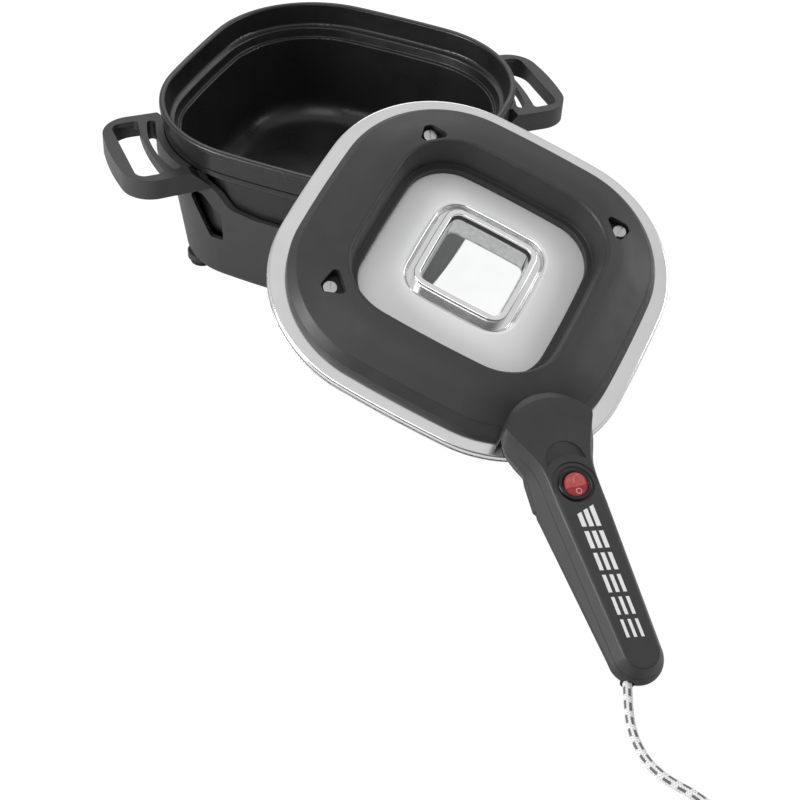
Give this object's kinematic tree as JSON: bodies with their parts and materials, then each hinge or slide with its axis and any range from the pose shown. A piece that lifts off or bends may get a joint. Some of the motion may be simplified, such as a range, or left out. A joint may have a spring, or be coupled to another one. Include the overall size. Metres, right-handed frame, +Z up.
{
  "type": "electric roaster",
  "caption": "Square roasting bowl in a two-handled stand with a lift-off heating lid on a long handle, leaning on the rim, with a mains cord.",
  "frame": {"origin": "on the table under the middle of the appliance, measured without its cord", "axes": "+Z up, X along the stand's two handles, the lid's handle points to -Y"},
  "size_m": [0.3816, 0.9076, 0.1869],
  "materials": {
    "stand_plastic": "fine matte grain",
    "foot_rubber": "matte",
    "steel_zinc": "zinc plated",
    "bowl_coated": "matte non-stick coating",
    "cord_braid_coil": "light braid with dark flecks",
    "cord_braid_tail": "light braid with dark flecks",
    "plug_black": "moulded",
    "pin_nickel": "nickel plated",
    "contact_brass": "plain",
    "rocker_red": "red translucent",
    "chrome_pressing": "satin chrome, bright at the curl",
    "pan_steel": "dull pressed steel",
    "frame_chrome": "bright",
    "window_glass": "clear",
    "seal_silicone": "matte",
    "sleeve_steel": "dull",
    "element_sheath": "heat darkened",
    "terminal_steel": "plated",
    "clip_steel": "plain",
    "mineral_wool": "fibrous",
    "thermostat_case": "phenolic",
    "fuse_sleeve": "glass fibre sleeve",
    "cover_plastic": "fine matte grain",
    "post_steel": "plain",
    "screw_bright": "bright zinc",
    "handle_plastic": "fine matte grain",
    "handle_plastic_lower": "fine matte grain",
    "handle_screw_steel": "black zinc",
    "stripe_white": "white print",
    "bracket_steel": "plain",
    "bracket_screw_steel": "zinc plated",
    "switch_black": "gloss black",
    "lamp_glass": "clear glass",
    "blade_brass": "tinned",
    "block_plastic": "white",
    "terminal_screw_steel": "zinc plated",
    "clamp_plastic": "matte",
    "clamp_screw_steel": "zinc plated",
    "grommet_rubber": "matte",
    "cord_braid_inner": "light braid with dark flecks",
    "wire_brown": "plain",
    "wire_blue": "plain",
    "wire_green_yellow": "green with a yellow stripe",
    "wire_black": "plain",
    "cord_braid": "light braid with dark flecks"
  },
  "bodies": {
    "base": {"stand": "stand_plastic", "foot_1": "foot_rubber", "foot_2": "foot_rubber", "foot_3": "foot_rubber", "foot_4": "foot_rubber", "foot_screws": "steel_zinc"},
    "bowl": {"bowl": "bowl_coated", "cord_coil": "cord_braid_coil", "cord_tail": "cord_braid_tail", "plug_body": "plug_black", "plug_pins": "pin_nickel", "plug_contacts": "contact_brass"},
    "rocker": {"switch_rocker": "rocker_red"},
    "lid": {"lid_shell": "chrome_pressing", "lid_pan": "pan_steel", "window_frame": "frame_chrome", "window_glass": "window_glass", "window_seal": "seal_silicone", "window_sleeve": "sleeve_steel", "heating_element": "element_sheath", "element_terminals": "terminal_steel", "element_clips": "clip_steel", "insulation_ring": "mineral_wool", "thermostat": "thermostat_case", "thermal_fuse": "fuse_sleeve", "cover_ring": "cover_plastic", "cover_posts": "post_steel", "cover_screws": "screw_bright", "handle_upper": "handle_plastic", "handle_lower": "handle_plastic_lower", "handle_screws": "handle_screw_steel", "handle_stripes": "stripe_white", "handle_bracket": "bracket_steel", "bracket_screw": "bracket_screw_steel", "switch_body": "switch_black", "switch_lamp": "lamp_glass", "switch_blades": "blade_brass", "terminal_block": "block_plastic", "terminal_screws": "terminal_screw_steel", "cord_clamp": "clamp_plastic", "clamp_screws": "clamp_screw_steel", "cord_grommet": "grommet_rubber", "cord_inner": "cord_braid_inner", "wire_live": "wire_brown", "wire_neutral": "wire_blue", "wire_earth": "wire_green_yellow", "wire_load": "wire_black", "cord_free": "cord_braid"}
  },
  "joints": [
    {"name": "bowl_lift", "type": "slide", "parent": "base", "child": "bowl", "axis": [0, 0, 1], "range_m": [0, 0.12]},
    {"name": "lid_lift", "type": "slide", "parent": "bowl", "child": "lid", "axis": [0, 0, 1], "range_m": [0, 0.25]},
    {"name": "rocker_tilt", "type": "hinge", "parent": "lid", "child": "rocker", "pos_m": [0.00945, -0.21953, 0.07259], "axis": [-0.9998, 0.0192, 0], "range_deg": [0, 20]}
  ]
}
